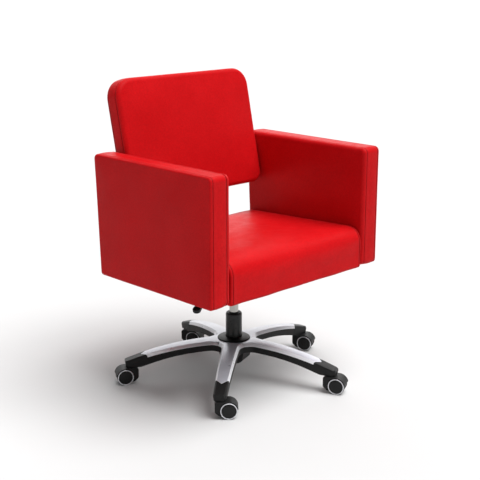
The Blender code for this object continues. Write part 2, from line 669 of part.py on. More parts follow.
def build_back_studs(side, lean, pieces, steel):
    """Two shouldered studs that carry the backrest between the arms."""
    shoulder = (BACK_HALF_WIDTH + GAP, ARM_INNER_X - GAP)
    inner = BACK_BOARD_HALF_WIDTH - 0.030
    profile = [(0, side * inner), (BOLT_RADIUS, side * inner), (BOLT_RADIUS, side * shoulder[0]),
               (0.0090, side * shoulder[0]), (0.0090, side * shoulder[1]), (BOLT_RADIUS, side * shoulder[1]),
               (BOLT_RADIUS, side * CORE_END_X), (0, side * CORE_END_X)]
    mesh = turned(on_side(side, "back_stud"), profile, 16, steel, "X")
    low, high = sorted((side * (inner - 0.001), side * (CORE_END_X + 0.001)))
    middle = BACK_BOARD_FRONT + BACK_BOARD_THICKNESS / 2
    for label, height in zip(("lower", "upper"), STUD_HEIGHTS):
        place(on_side(side, "back_stud") + f"_{label}", mesh, (0.0, middle, height), parent=lean)
        tool = place(on_side(side, "back_stud_hole") + f"_{label}",
                     rod("back_stud_hole", BOLT_HOLE_RADIUS, low, high, 12, None, "X"),
                     (0.0, middle, height), parent=lean)
        for piece in pieces:
            combine(piece, tool)


# ---- Castors -----------------------------------------------------------------------------------
def hood_outline():
    """Side view of a hood: over the wheels, down its front block and back along the web."""
    centre = (TRAIL, WHEEL_RADIUS)
    over = arc(centre, HOOD_OUTER_RADIUS, 15.0, 90.0, 6)
    block = rounded([over[-1] + (0.0,), (-0.016, HOOD_TOP_Z, 0.006), (-0.016, 0.022, 0.008),
                     (-0.004, 0.011, 0.004), (0.016, 0.0075, 0.0), (0.036, 0.0085, 0.006),
                     (0.046, 0.016, 0.0), over[0] + (0.0,)], 3)
    return over[1:-1] + block


def hood_mesh(material):
    return prism("castor_hood", hood_outline(), "Y", -HOOD_HALF_WIDTH, HOOD_HALF_WIDTH, material)


def hood_tools(index, pose):
    """Wheel pockets on both sides of the web, and the bores for the stem and the axle."""
    axle = (TRAIL, 0.0, WHEEL_RADIUS)
    tools = []
    for side in (-1, 1):
        low, high = sorted((side * HOOD_WEB_HALF, side * 0.030))
        mesh = rod("wheel_pocket", HOOD_INNER_RADIUS, low, high, 28, None, "Y")
        tools.append(place(f"wheel_pocket_{index}_{side}", mesh, axle, parent=pose))
    tools.append(place(f"stem_bore_{index}", rod("stem_bore", 0.0043, 0.0292, 0.060, 12, None), parent=pose))
    axle_bore = rod("axle_bore", 0.0033, -0.01, 0.01, 12, None, "Y")
    tools.append(place(f"axle_bore_{index}", axle_bore, axle, parent=pose))
    return tools


def wheel_profile():
    """Radius and distance from the castor's middle plane: blind bore, tread, face and hub cap."""
    face = WHEEL_INNER_Y
    return [(0, 0.0175), (0.0033, 0.0175), (0.0033, face), (0.0235, face), (WHEEL_RADIUS, face + 0.0015),
            (WHEEL_RADIUS, 0.0208), (0.0232, 0.0230), (0.0180, 0.0232), (0.0160, 0.0243), (0, 0.0248)]


def build_castors(hood_plastic, wheel_plastic, steel):
    hood = hood_mesh(hood_plastic)
    wheel = turned("castor_wheel", wheel_profile(), 20, wheel_plastic, "Y")
    axle = rod("castor_axle", 0.0030, -0.0172, 0.0172, 12, steel, "Y")
    stem = turned("castor_stem", [(0, 0.0300), (0.0040, 0.0300), (0.0040, 0.0536), (0.0055, 0.0536),
                                  (0.0055, 0.0685), (0.0045, 0.0690), (0, 0.0690)], 16, steel)
    centre = (TRAIL, 0.0, WHEEL_RADIUS)
    for index in range(LEG_COUNT):
        number = index + 1
        turn = math.radians(CASTOR_HEADINGS[index] - 90.0)
        pose = add_empty(f"castor_pose_{number}", stem_place(index), (0.0, 0.0, turn))
        body = place(f"castor_hood_{number}", hood, parent=pose)
        for tool in hood_tools(number, pose):
            combine(body, tool)
        place(f"castor_stem_{number}", stem, parent=pose)
        place(f"castor_axle_{number}", axle, centre, parent=pose)
        place(f"castor_wheel_{number}_a", wheel, centre, parent=pose)
        place(f"castor_wheel_{number}_b", wheel, centre, math.pi, parent=pose)


# ---- The chair ---------------------------------------------------------------------------------
def build_chair():
    clear_scene()
    vinyl = make_material("red vinyl", (0.62, 0.012, 0.018), 0.42)
    silver = make_material("silver cover", (0.52, 0.52, 0.55), 0.34, 0.8)
    nylon = make_material("black nylon", (0.012, 0.012, 0.012), 0.5)
    black_metal = make_material("black column", (0.015, 0.015, 0.016), 0.4, 0.3)
    chrome = make_material("chromed steel", (0.75, 0.75, 0.76), 0.12, 1.0)
    steel = make_material("zinc steel", (0.45, 0.45, 0.46), 0.35, 1.0)
    plate_paint = make_material("black plate", (0.02, 0.02, 0.02), 0.5, 0.2)
    hardwood = make_material("hardwood", (0.45, 0.27, 0.13), 0.7)
    plywood = make_material("plywood", (0.55, 0.38, 0.20), 0.7)
    wheel_plastic = make_material("castor wheel", (0.02, 0.02, 0.02), 0.45)

    build_cover(silver)
    build_frame(nylon)
    build_column(black_metal, nylon, steel)
    build_gas_lift(chrome, steel, nylon)
    build_seat_plate(plate_paint)
    build_plate_bolts(steel)
    build_lever(plate_paint, nylon, steel)
    cushion, frame = build_seat(vinyl, hardwood, plywood)
    for tool in plate_bolt_holes():
        combine(frame, tool)
    lean, backrest, board = build_backrest(vinyl, plywood)
    for side in (-1, 1):
        arm, core = build_arm(side, vinyl, hardwood)
        build_arm_bolts(side, arm, core, cushion, frame, steel)
        build_back_studs(side, lean, (arm, core, backrest, board), steel)
    build_castors(nylon, wheel_plastic, steel)


build_chair()
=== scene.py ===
"""Looks of the salon armchair: upholstery, base, castors, materials, light and camera.

Metres, in the CAD's frame: +Z up, the chair faces -Y, and the origin is on the floor under the column.
"""

import json
import math

import bmesh
import bpy
import numpy as np
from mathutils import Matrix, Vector, noise
from mathutils.kdtree import KDTree


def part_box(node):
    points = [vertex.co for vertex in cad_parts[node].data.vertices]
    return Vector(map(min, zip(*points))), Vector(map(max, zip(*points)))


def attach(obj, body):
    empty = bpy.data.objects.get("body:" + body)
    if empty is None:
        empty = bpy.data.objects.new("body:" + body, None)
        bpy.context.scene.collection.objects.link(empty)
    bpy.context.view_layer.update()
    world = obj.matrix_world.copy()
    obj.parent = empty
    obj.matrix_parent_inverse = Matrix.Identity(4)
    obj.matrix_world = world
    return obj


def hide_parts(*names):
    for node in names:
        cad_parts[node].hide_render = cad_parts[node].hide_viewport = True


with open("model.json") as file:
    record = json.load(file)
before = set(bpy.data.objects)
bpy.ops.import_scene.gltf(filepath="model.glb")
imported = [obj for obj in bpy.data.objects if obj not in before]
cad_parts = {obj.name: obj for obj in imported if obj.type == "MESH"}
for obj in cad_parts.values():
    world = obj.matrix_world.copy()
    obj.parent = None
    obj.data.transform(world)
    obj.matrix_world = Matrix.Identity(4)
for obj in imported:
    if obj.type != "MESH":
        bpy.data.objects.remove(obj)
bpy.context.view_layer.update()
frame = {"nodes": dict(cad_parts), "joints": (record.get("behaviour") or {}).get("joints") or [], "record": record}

# ---- Sizes -------------------------------------------------------------------------------------
ARM_REAR_LEAN = 0.0153  # how much further back an arm's rear is at its top than at its bottom
ARM_CORNER = 0.015
SEAT_TOP_FALL = 0.0213  # how much lower the seat is at its rear than at its front
SEAT_FRONT_RADIUS = 0.046
SEAT_REAR_RADIUS = 0.024
BACK_FULLNESS = 0.004  # what the stuffing adds to its sides and top
BACK_TOP_RADIUS = 0.058
BACK_BOTTOM_RADIUS = 0.036
SEAT_FULLNESS = 0.0020  # what the stuffing adds to its top
LOWER_RADIUS = 0.008  # of the bottom corners of the seat and arms
PAD_BOTTOM_INSET = 0.032  # width of the strip round the seat pad's bottom that isn't lifted
PAD_BOTTOM_LIFT = 0.0020

# Two values are for a piece's two sides: the seat's right and left, an arm's outer and inner side, or
# the back's front and rear
SEAT_ROLLS = (0.006, 0.006)  # radii of the rolled edges
SEAT_SEAMS = (0.0078, 0.0078)  # how far behind the sides the seams are
ARM_ROLLS = (0.007, 0.012)
ARM_SEAMS = (0.0092, 0.0145)
BACK_ROLLS = (0.013, 0.005)
BACK_SEAMS = (0.0165, 0.0068)
BAND_CROWN = 0.0012  # how far the band of an arm or the back stands out in its middle

SEAT_RISE = 0.0075  # how far the stuffing pushes the cover out at most
ARM_RISE = 0.0045
BACK_RISE = 0.0065
SEAT_WAVE = (0.0016, 0.085)  # height and length of the cover's waviness
ARM_WAVE = (0.0010, 0.10)
BACK_WAVE = (0.0012, 0.11)

SEAM_WIDTH = 0.0040
SEAM_DEPTH = 0.0020
ROLL_STEPS = 6  # rows round a rolled edge
SEAM_ROW = ROLL_STEPS + 2  # place of the seam's deepest row in edge_profile
FINE_STEP = 0.0018  # between rows of vertices beside a seam
COARSE_STEP = 0.009  # and in the middle of a panel
STEP_GROWTH = 1.4

VOXEL = 0.006  # size of the simulated mesh
SIM_FRAMES = 20
SIM_PRESSURE = 4.0
CLOTH_MASS = 0.3
CLOTH_STIFFNESS = 30.0
CLOTH_BENDING = 1.5
PINNED = 0.004  # distance from a seam within which the cloth can't move
EASING = 0.012  # width of the strip beyond it, over which it comes free
NEIGHBOURS = 6  # simulated points that move each point of the cover

WHEEL_RADIUS = 0.025
WHEEL_SEGMENTS = 56
CAP_SEGMENTS = 48
CREASE_ANGLE = 38.0  # degrees from which a turned part's edge is sharp

STITCH_OFFSET = 0.0048  # from the seam
STITCH_PITCH = 0.0046
RUN_START = 0.01  # length along a seam at its first point, above 0 to tell the band from the panel

DUST_MARGIN = 0.006  # between the dust cloth's edge and the seat frame's
DUST_GAP_X = 0.003  # between its cut-out and the seat plate
DUST_GAP_Y = 0.002
DUST_DROP = 0.0013  # below the seat frame
DUST_THICKNESS = 0.0005
DUST_SAG = 0.0035
STAPLE_PITCH = 0.042
STAPLE_INSET = 0.006  # from the dust cloth's edge
STAPLE_DROP = 0.0004
STAPLE_SKEW = 0.12
STAPLE_WIRE = ((-0.0052, 0.0022), (-0.0050, -0.0002), (-0.0044, -0.0006),
               (0.0044, -0.0006), (0.0050, -0.0002), (0.0052, 0.0022))  # (along, up)
STAPLE_HALF_WIDTH = 0.0006
STAPLE_HALF_HEIGHT = 0.00035

WELD_DISTANCE = 0.00002
EDGE_ANGLE = 32.0  # degrees from which a CAD node's edge is rounded
# How much each kind of CAD node has its edges rounded
EDGE_ROUNDING = {"base_frame": 0.0010, "base_trim": 0.0007, "castor_hood": 0.0008, "hub_collar": 0.0005,
                 "column_tube": 0.0004, "seat_plate": 0.0005, "lever_paddle": 0.0, "lever_rod": 0.0}
OTHER_ROUNDING = 0.0003

FLOOR_HALF = 60.0
FLOOR_DARK = 0.555
FLOOR_PALE = 0.57
WORLD_STRENGTH = 0.24
GLOW_STRENGTH = 2.0  # of the bright part of the world
GLOW_DIRECTION = (0.66, 0.69, 0.28)
KEY_SUN = (4.4, 46.0, 28.0, 68.0)  # strength, then angular size, azimuth and elevation in degrees
FILL_SUN = (0.3, 30.0, -30.0, 55.0)
CAMERA_PLACE = (-2.0974, -2.1767, 1.2383)
CAMERA_FACING = (0.67489, 0.69170, -0.25705)
CAMERA_LENS = 77.68


# ---- Node materials ----------------------------------------------------------------------------
def add(tree, kind, inputs=None, **settings):
    """A shader node with its settings and inputs; an input is a value or another node's output."""
    node = tree.nodes.new("ShaderNode" + kind)
    for key, value in settings.items():
        setattr(node, key, value)
    for key, value in (inputs or {}).items():
        if isinstance(value, bpy.types.NodeSocket):
            tree.links.new(value, node.inputs[key])
        else:
            node.inputs[key].default_value = value
    return node


def new_material(name, **values):
    """A Principled material; values that are the same all over go straight to its sockets."""
    material = bpy.data.materials.new(name)
    material.use_nodes = True
    shader = material.node_tree.nodes["Principled BSDF"]
    for key, value in values.items():
        shader.inputs[key.replace("_", " ")].default_value = value
    return material, material.node_tree, shader


def place_of(tree):
    """Each point's place on its own object."""
    return add(tree, "TexCoord").outputs["Object"]


def stretched(tree, scale):
    return add(tree, "Mapping", {"Vector": place_of(tree), "Scale": scale}).outputs["Vector"]


def cloud(tree, scale, detail=3.0, vector=None, roughness=0.55):
    """Noise of about scale spots a metre."""
    inputs = {"Vector": vector or place_of(tree), "Scale": scale, "Detail": detail, "Roughness": roughness}
    return add(tree, "TexNoise", inputs).outputs["Fac"]


def ranged(tree, value, low, high, to_low, to_high):
    """The value with low to high stretched to the new ends, and held at them beyond."""
    inputs = {"Value": value, "From Min": low, "From Max": high, "To Min": to_low, "To Max": to_high}
    return add(tree, "MapRange", inputs).outputs["Result"]


def mixed(tree, factor, first, second):
    """A blend of two colours; the node's colour inputs are 6 and 7, and its colour output is 2."""
    node = add(tree, "Mix", data_type="RGBA")
    for index, value in ((0, factor), (6, first), (7, second)):
        if isinstance(value, bpy.types.NodeSocket):
            tree.links.new(value, node.inputs[index])
        else:
            node.inputs[index].default_value = value
    return node.outputs[2]


def bumped(tree, height, distance, strength=1.0, normal=None):
    """Normals of a surface with bumps of up to the distance, on top of those given."""
    inputs = {"Height": height, "Distance": distance, "Strength": strength}
    if normal:
        inputs["Normal"] = normal
    return add(tree, "Bump", inputs).outputs["Normal"]


def shade(red, green, blue):
    return (red, green, blue, 1.0)


def grey(tone):
    return shade(tone, tone, tone)


VINYL_DEEP = shade(0.49, 0.0040, 0.0060)
VINYL_BRIGHT = shade(0.55, 0.0055, 0.0080)
VINYL_DARK = shade(0.22, 0.0020, 0.0030)
# A paler red, painted on as a highlight on the rolled edges beside the seams
VINYL_HIGHLIGHT = shade(0.58, 0.015, 0.018)
VINYL_SHADOW = shade(0.09, 0.0015, 0.0020)
VINYL_THREAD = shade(0.36, 0.004, 0.006)


def edge_wear_and_highlight(tree, low, high):
    """0 on flats and 1 on sharp convex edges: painted highlights on the silver and rubbed wear on the nylon."""
    pointiness = add(tree, "NewGeometry").outputs["Pointiness"]
    return ranged(tree, pointiness, low, high, 0.0, 1.0)


def vinyl_material():
    """Red leathercloth, with painted shade in its seams and a painted highlight on the rolled edges beside them.
    """
    material, tree, shader = new_material("red_vinyl", Specular_IOR_Level=0.055)
    seam = add(tree, "Attribute", attribute_name="seam_distance").outputs["Fac"]
    mottle = ranged(tree, cloud(tree, 9.0, 5.0), 0.3, 0.7, 0.0, 1.0)
    colour = mixed(tree, mottle, VINYL_DEEP, VINYL_BRIGHT)
    speckle = ranged(tree, cloud(tree, 210.0, 3.0), 0.35, 0.65, 0.0, 0.26)
    colour = mixed(tree, speckle, colour, VINYL_DARK)
    # Painted highlight: paler red on the rolled edges within a few millimetres of each seam
    roll_highlight = ranged(tree, seam, 0.004, 0.014, 0.22, 0.0)
    colour = mixed(tree, roll_highlight, colour, VINYL_HIGHLIGHT)
    in_seam = ranged(tree, seam, 0.0008, 0.0024, 0.92, 0.0)
    colour = mixed(tree, in_seam, colour, VINYL_SHADOW)
    stitch = stitches(tree, seam)
    colour = mixed(tree, stitch, colour, VINYL_THREAD)
    tree.links.new(colour, shader.inputs["Base Color"])
    gloss = ranged(tree, cloud(tree, 30.0, 4.0), 0.3, 0.7, 0.38, 0.50)
    tree.links.new(gloss, shader.inputs["Roughness"])
    cells = add(tree, "TexVoronoi", {"Vector": place_of(tree), "Scale": 620.0, "Randomness": 1.0},
                feature="DISTANCE_TO_EDGE").outputs["Distance"]
    cells = ranged(tree, cells, 0.0, 0.22, 0.0, 1.0)
    normal = bumped(tree, cells, 0.00012, 0.55)
    normal = bumped(tree, cloud(tree, 1500.0, 2.0), 0.00006, 0.5, normal)
    drape = cloud(tree, 38.0, 3.0)
    normal = bumped(tree, drape, 0.0011, 0.45, normal)
    pucker = cloud(tree, 1.0, 2.0, stretched(tree, (190.0, 190.0, 190.0)))
    near_seam = ranged(tree, seam, 0.002, 0.013, 1.0, 0.0)
    pucker = add(tree, "Math", {0: pucker, 1: near_seam}, operation="MULTIPLY").outputs[0]
    normal = bumped(tree, pucker, 0.0016, 0.6, normal)
    normal = bumped(tree, stitch, 0.0004, 0.8, normal)
    tree.links.new(normal, shader.inputs["Normal"])
    return material


def stitches(tree, seam):
    """Dashes of thread in a row beside each seam, on the band's side of it."""
    run = add(tree, "Attribute", attribute_name="seam_run").outputs["Fac"]
    offset = add(tree, "Math", {0: seam, 1: STITCH_OFFSET}, operation="SUBTRACT").outputs[0]
    offset = add(tree, "Math", {0: offset}, operation="ABSOLUTE").outputs[0]
    row = ranged(tree, offset, 0.0003, 0.0006, 1.0, 0.0)
    turns = add(tree, "Math", {0: run, 1: STITCH_PITCH}, operation="DIVIDE").outputs[0]
    turns = add(tree, "Math", {0: turns}, operation="FRACT").outputs[0]
    dash = ranged(tree, turns, 0.66, 0.72, 1.0, 0.0)
    dash = add(tree, "Math", {0: dash, 1: row}, operation="MULTIPLY").outputs[0]
    beside_seam = add(tree, "Math", {0: run, 1: 0.001}, operation="GREATER_THAN").outputs[0]
    return add(tree, "Math", {0: dash, 1: beside_seam}, operation="MULTIPLY").outputs[0]


def silver_material():
    """Silver paint with fine flakes, with painted highlights on its edges and its sloping faces."""
    material, tree, shader = new_material("silver_cover", Metallic=0.30, Coat_Weight=0.3,
                                          Coat_Roughness=0.2)
    flakes = cloud(tree, 2600.0, 1.0)
    tone = cloud(tree, 16.0, 3.0)
    tone = ranged(tree, tone, 0.3, 0.7, 0.0, 1.0)
    colour = mixed(tree, tone, shade(0.44, 0.445, 0.50), shade(0.54, 0.545, 0.60))
    colour = mixed(tree, ranged(tree, flakes, 0.45, 0.75, 0.0, 0.25), colour, shade(0.85, 0.85, 0.88))
    # Painted highlight: the sharp edges made paler
    colour = mixed(tree, edge_wear_and_highlight(tree, 0.53, 0.62), colour, shade(0.82, 0.82, 0.84))
    # Painted highlight: faces that slope away from the top are made paler, as if catching the light
    upward = add(tree, "SeparateXYZ", {"Vector": add(tree, "NewGeometry").outputs["Normal"]}).outputs["Z"]
    bevel_highlight = ranged(tree, upward, 0.88, 0.72, 0.0, 0.75)
    colour = mixed(tree, bevel_highlight, colour, shade(0.93, 0.93, 0.96))
    tree.links.new(colour, shader.inputs["Base Color"])
    gloss = ranged(tree, cloud(tree, 70.0, 4.0), 0.3, 0.7, 0.27, 0.37)
    tree.links.new(gloss, shader.inputs["Roughness"])
    tree.links.new(bumped(tree, flakes, 0.00003, 0.4), shader.inputs["Normal"])
    return material


def nylon_material(name, tone, roughness):
    """Moulded black plastic with a spark-eroded grain and slightly paler, rubbed edges."""
    material, tree, shader = new_material(name, Specular_IOR_Level=0.22)
    patch = ranged(tree, cloud(tree, 22.0, 4.0), 0.3, 0.7, 0.0, 1.0)
    colour = mixed(tree, patch, grey(tone * 0.75), shade(tone * 1.3, tone * 1.28, tone * 1.25))
    colour = mixed(tree, edge_wear_and_highlight(tree, 0.54, 0.66), colour, grey(tone * 3.6))
    tree.links.new(colour, shader.inputs["Base Color"])
    gloss = ranged(tree, cloud(tree, 120.0, 3.0), 0.3, 0.7, roughness - 0.05, roughness + 0.07)
    tree.links.new(gloss, shader.inputs["Roughness"])
    tree.links.new(bumped(tree, cloud(tree, 900.0, 2.0), 0.00006, 0.6), shader.inputs["Normal"])
    return material


def black_steel_material():
    """Powder-coated black steel."""
    material, tree, shader = new_material("black_steel", Specular_IOR_Level=0.25, Coat_Weight=0.12,
                                          Coat_Roughness=0.15)
    patch = ranged(tree, cloud(tree, 40.0, 4.0), 0.3, 0.7, 0.0, 1.0)
    colour = mixed(tree, patch, grey(0.006), shade(0.013, 0.013, 0.012))
    tree.links.new(colour, shader.inputs["Base Color"])
    gloss = ranged(tree, cloud(tree, 200.0, 3.0), 0.3, 0.7, 0.26, 0.36)
    tree.links.new(gloss, shader.inputs["Roughness"])
    tree.links.new(bumped(tree, cloud(tree, 420.0, 2.0), 0.00005, 0.5), shader.inputs["Normal"])
    return material


def chrome_material():
    """Chrome with smears along the cylinder and fine polishing marks round it."""
    material, tree, shader = new_material("chrome", Metallic=1.0)
    smear = cloud(tree, 1.0, 3.0, stretched(tree, (240.0, 240.0, 12.0)))
    colour = mixed(tree, smear, shade(0.30, 0.29, 0.27), shade(0.50, 0.49, 0.47))
    tree.links.new(colour, shader.inputs["Base Color"])
    tree.links.new(ranged(tree, smear, 0.35, 0.75, 0.07, 0.2), shader.inputs["Roughness"])
    polish = cloud(tree, 1.0, 2.0, stretched(tree, (60.0, 60.0, 2600.0)))
    tree.links.new(bumped(tree, polish, 0.00001, 0.3), shader.inputs["Normal"])
    return material


def zinc_material():
    """Zinc-plated steel with a clouded finish."""
    material, tree, shader = new_material("zinc_steel", Metallic=1.0)
    bloom = cloud(tree, 180.0, 4.0)
    colour = mixed(tree, bloom, shade(0.36, 0.36, 0.35), shade(0.60, 0.59, 0.55))
    tree.links.new(colour, shader.inputs["Base Color"])
    tree.links.new(ranged(tree, bloom, 0.3, 0.7, 0.28, 0.45), shader.inputs["Roughness"])
    tree.links.new(bumped(tree, cloud(tree, 900.0, 2.0), 0.00003, 0.5), shader.inputs["Normal"])
    return material


def hardwood_material():
    """Sawn hardwood with its grain along X."""
    material, tree, shader = new_material("hardwood")
    along = stretched(tree, (5.0, 60.0, 60.0))
    rings = add(tree, "TexWave", {"Vector": along, "Scale": 1.2, "Distortion": 6.0, "Detail": 3.0},
                bands_direction="Y").outputs["Fac"]
    pores = cloud(tree, 1.0, 4.0, stretched(tree, (40.0, 900.0, 900.0)))
    colour = mixed(tree, rings, shade(0.30, 0.165, 0.075), shade(0.50, 0.31, 0.155))
    colour = mixed(tree, ranged(tree, pores, 0.5, 0.7, 0.0, 0.5), colour, shade(0.16, 0.08, 0.035))
    tree.links.new(colour, shader.inputs["Base Color"])
    tree.links.new(ranged(tree, pores, 0.3, 0.7, 0.6, 0.75), shader.inputs["Roughness"])
    tree.links.new(bumped(tree, pores, 0.0003, 0.5), shader.inputs["Normal"])
    return material


def plywood_material():
    """Plywood with its grain along X and its plies stacked along Z."""
    material, tree, shader = new_material("plywood")
    stripes = {"Vector": place_of(tree), "Scale": 130.0, "Distortion": 0.4, "Detail": 2.0}
    plies = add(tree, "TexWave", stripes, bands_direction="Z").outputs["Fac"]
    figure = cloud(tree, 1.0, 4.0, stretched(tree, (12.0, 220.0, 220.0)))
    colour = mixed(tree, figure, shade(0.42, 0.27, 0.13), shade(0.62, 0.44, 0.25))
    colour = mixed(tree, ranged(tree, plies, 0.4, 0.6, 0.0, 0.35), colour, shade(0.30, 0.17, 0.08))
    tree.links.new(colour, shader.inputs["Base Color"])
    tree.links.new(ranged(tree, figure, 0.3, 0.7, 0.62, 0.78), shader.inputs["Roughness"])
    tree.links.new(bumped(tree, figure, 0.0002, 0.5), shader.inputs["Normal"])
    return material


def dust_cloth_material():
    """Black spun fibre cloth with the small diamond pattern it is bonded in."""
    material, tree, shader = new_material("dust_cloth")
    fibres = cloud(tree, 700.0, 6.0, roughness=0.7)
    bonds = add(tree, "TexVoronoi", {"Vector": place_of(tree), "Scale": 330.0, "Randomness": 0.0},
                feature="F1").outputs["Distance"]
    colour = mixed(tree, fibres, shade(0.008, 0.008, 0.009), shade(0.035, 0.035, 0.036))
    tree.links.new(colour, shader.inputs["Base Color"])
    tree.links.new(ranged(tree, fibres, 0.3, 0.7, 0.75, 0.95), shader.inputs["Roughness"])
    normal = bumped(tree, ranged(tree, bonds, 0.1, 0.5, 0.0, 1.0), 0.0002, 0.6)
    tree.links.new(bumped(tree, fibres, 0.00015, 0.6, normal), shader.inputs["Normal"])
    return material


# ---- Upholstered panels ------------------------------------------------------------------------
def graded(length):
    """Positions from 0 to length, close together at both ends and further apart between them."""
    ends = []
    step = FINE_STEP
    while step < COARSE_STEP and 2 * (sum(ends) + step) < length:
        ends.append(step)
        step *= STEP_GROWTH
    middle = length - 2 * sum(ends)
    count = max(1, round(middle / COARSE_STEP))
    return np.concatenate(([0.0], np.cumsum(ends + [middle / count] * count + ends[::-1])))


def panel_grid(corners, radii, shares=None):
    """Points over a four-cornered panel with rounded corners, and how far each is from its edge.

    It also returns the shares of the width and height that its rows stand at, for a second panel to
    match the first.
    """
    corners = np.array(corners, float)
    width = np.linalg.norm(corners[1] - corners[0])
    height = np.linalg.norm(corners[3] - corners[0])
    u, v = shares if shares else (graded(width) / width, graded(height) / height)
    across, up = np.meshgrid(u * width, v * height, indexing="ij")
    edge = np.minimum(np.minimum(across, width - across), np.minimum(up, height - up))
    for far_u, far_v, radius in zip((0, 1, 1, 0), (0, 0, 1, 1), radii):
        from_u = width - across if far_u else across
        from_v = height - up if far_v else up
        inside = (from_u < radius) & (from_v < radius)
        a = np.clip((radius - from_u) / radius, 0, 1)
        b = np.clip((radius - from_v) / radius, 0, 1)
        round_u = radius - radius * a * np.sqrt(1 - b * b / 2)
        round_v = radius - radius * b * np.sqrt(1 - a * a / 2)
        across = np.where(inside, width - round_u if far_u else round_u, across)
        up = np.where(inside, height - round_v if far_v else round_v, up)
    s, t = (across / width)[..., None], (up / height)[..., None]
    points = (corners[0] * (1 - s) * (1 - t) + corners[1] * s * (1 - t)
              + corners[2] * s * t + corners[3] * (1 - s) * t)
    return points, edge, (u, v)


def rim_of(shape):
    """Indices of a grid's outer points, once round."""
    columns, rows = shape
    rim = [(i, 0) for i in range(columns - 1)] + [(columns - 1, j) for j in range(rows - 1)]
    rim += [(i, rows - 1) for i in range(columns - 1, 0, -1)] + [(0, j) for j in range(rows - 1, 0, -1)]
    return np.array([i * rows + j for i, j in rim])


def outward(loop):
    """Unit normals of a closed loop of plane points that runs anticlockwise."""
    along = np.roll(loop, -1, axis=0) - np.roll(loop, 1, axis=0)
    along /= np.linalg.norm(along, axis=1)[:, None]
    return np.stack([along[:, 1], -along[:, 0]], axis=1)


def drawn_in(corners, margin):
    """The four corners moved in by the margin, for corners given anticlockwise."""
    corners = np.array(corners, float)
    before = np.roll(corners, 1, axis=0) - corners
    after = np.roll(corners, -1, axis=0) - corners
    before /= np.linalg.norm(before, axis=1)[:, None]
    after /= np.linalg.norm(after, axis=1)[:, None]
    return corners + (before + after) * margin


def edge_profile(roll, seam):
    """(outward, depth) rows from a panel's rim round its rolled edge and through a seam behind it."""
    rows = []
    for step in range(1, ROLL_STEPS + 1):
        angle = math.radians(90 * step / ROLL_STEPS)
        rows.append((roll * math.sin(angle), roll * (1 - math.cos(angle))))
    half = SEAM_WIDTH / 2
    for offset, drop in ((-half, 0.0), (-half * 0.5, 0.35), (0.0, 1.0), (half * 0.5, 0.35), (half, 0.0)):
        rows.append((roll - SEAM_DEPTH * drop, seam + offset))
    return rows


def panel_side(corners, radii, roll, shares):
    """One panel of a cushion: its grid, its rim, the rim's outward normals and lengths along it."""
    inner = [max(radius - roll, 0.002) for radius in radii]
    points, edge, shares = panel_grid(drawn_in(corners, roll), inner, shares)
    rim = rim_of(edge.shape)
    loop = points.reshape(-1, 2)[rim]
    steps = np.linalg.norm(np.diff(loop, axis=0), axis=1)
    run = RUN_START + np.concatenate(([0.0], np.cumsum(steps)))
    side = {"grid": points, "edge": edge, "rim": rim, "loop": loop, "out": outward(loop), "run": run}
    return side, shares


def path_lengths(rows):
    """Length along an edge profile from the panel's rim to each of its rows."""
    points = np.array([(0.0, 0.0)] + rows)
    return np.cumsum(np.linalg.norm(np.diff(points, axis=0), axis=1))


class CushionPoints:
    """A cushion's vertices as they are made, each with its distance from the nearest seam and its
    place along the seam, which is 0 on the panel's side of it."""

    def __init__(self, to_space):
        self.to_space = to_space
        self.verts, self.distance, self.run = [], [], []

    def put(self, points, depth, seam_distance, along=0.0):
        points = points.reshape(-1, 2)
        self.verts.extend(self.to_space(a, b, depth) for a, b in points)
        self.distance.extend(np.broadcast_to(seam_distance, len(points)))
        self.run.extend(np.broadcast_to(along, len(points)))

    def put_grid(self, side, rows, depth):
        self.put(side["grid"], depth, (side["edge"] + path_lengths(rows)[SEAM_ROW]).ravel())

    def put_edge(self, side, rows, thickness=None):
        """The edge's rows from the panel to the band, or with a thickness the far edge's, reversed."""
        lengths = path_lengths(rows)
        order = range(len(rows)) if thickness is None else range(len(rows) - 1, -1, -1)
        for i in order:
            out, depth = rows[i]
            depth = depth if thickness is None else thickness - depth
            along = side["run"] if i >= SEAM_ROW else 0.0
            self.put(side["loop"] + side["out"] * out, depth, abs(lengths[i] - lengths[SEAM_ROW]), along)


def put_band(points, sides, rolls, depths, seams, crown):
    """Rows across the band between the two edges, blended from one side's outline to the other's."""
    near, far = sides
    start, stop = depths
    for depth in graded(stop - start)[1:-1] + start:
        t = (depth - start) / (stop - start)
        swell = crown * (1 - (2 * t - 1) ** 2)
        loop = (near["loop"] + near["out"] * (rolls[0] + swell)) * (1 - t)
        loop = loop + (far["loop"] + far["out"] * (rolls[1] + swell)) * t
        points.put(loop, depth, min(depth - seams[0], seams[1] - depth), near["run"])


def cushion_faces(sides, count):
    """Quads of both panels and of the rows between them, for a cushion of count vertices."""
    near, far = sides
    columns, rows = near["edge"].shape
    panel = columns * rows
    around = len(near["rim"])
    faces = []
    for base in (0, count - panel):
        for i in range(columns - 1):
            for j in range(rows - 1):
                k = base + i * rows + j
                faces.append((k, k + rows, k + rows + 1, k + 1))
    starts = range(panel, count - panel, around)
    loops = [list(near["rim"])] + [list(range(start, start + around)) for start in starts]
    loops.append([count - panel + k for k in far["rim"]])
    for a, b in zip(loops, loops[1:]):
        for k in range(around):
            n = (k + 1) % around
            faces.append((a[k], a[n], b[n], b[k]))
    return [tuple(int(k) for k in face) for face in faces]


def linked(name, data):
    """A new object in the scene, for a mesh, a light or a camera."""
    piece = bpy.data.objects.new(name, data)
    bpy.context.scene.collection.objects.link(piece)
    return piece


def mesh_of(bm, name):
    mesh = bpy.data.meshes.new(name)
    bm.to_mesh(mesh)
    bm.free()
    return mesh


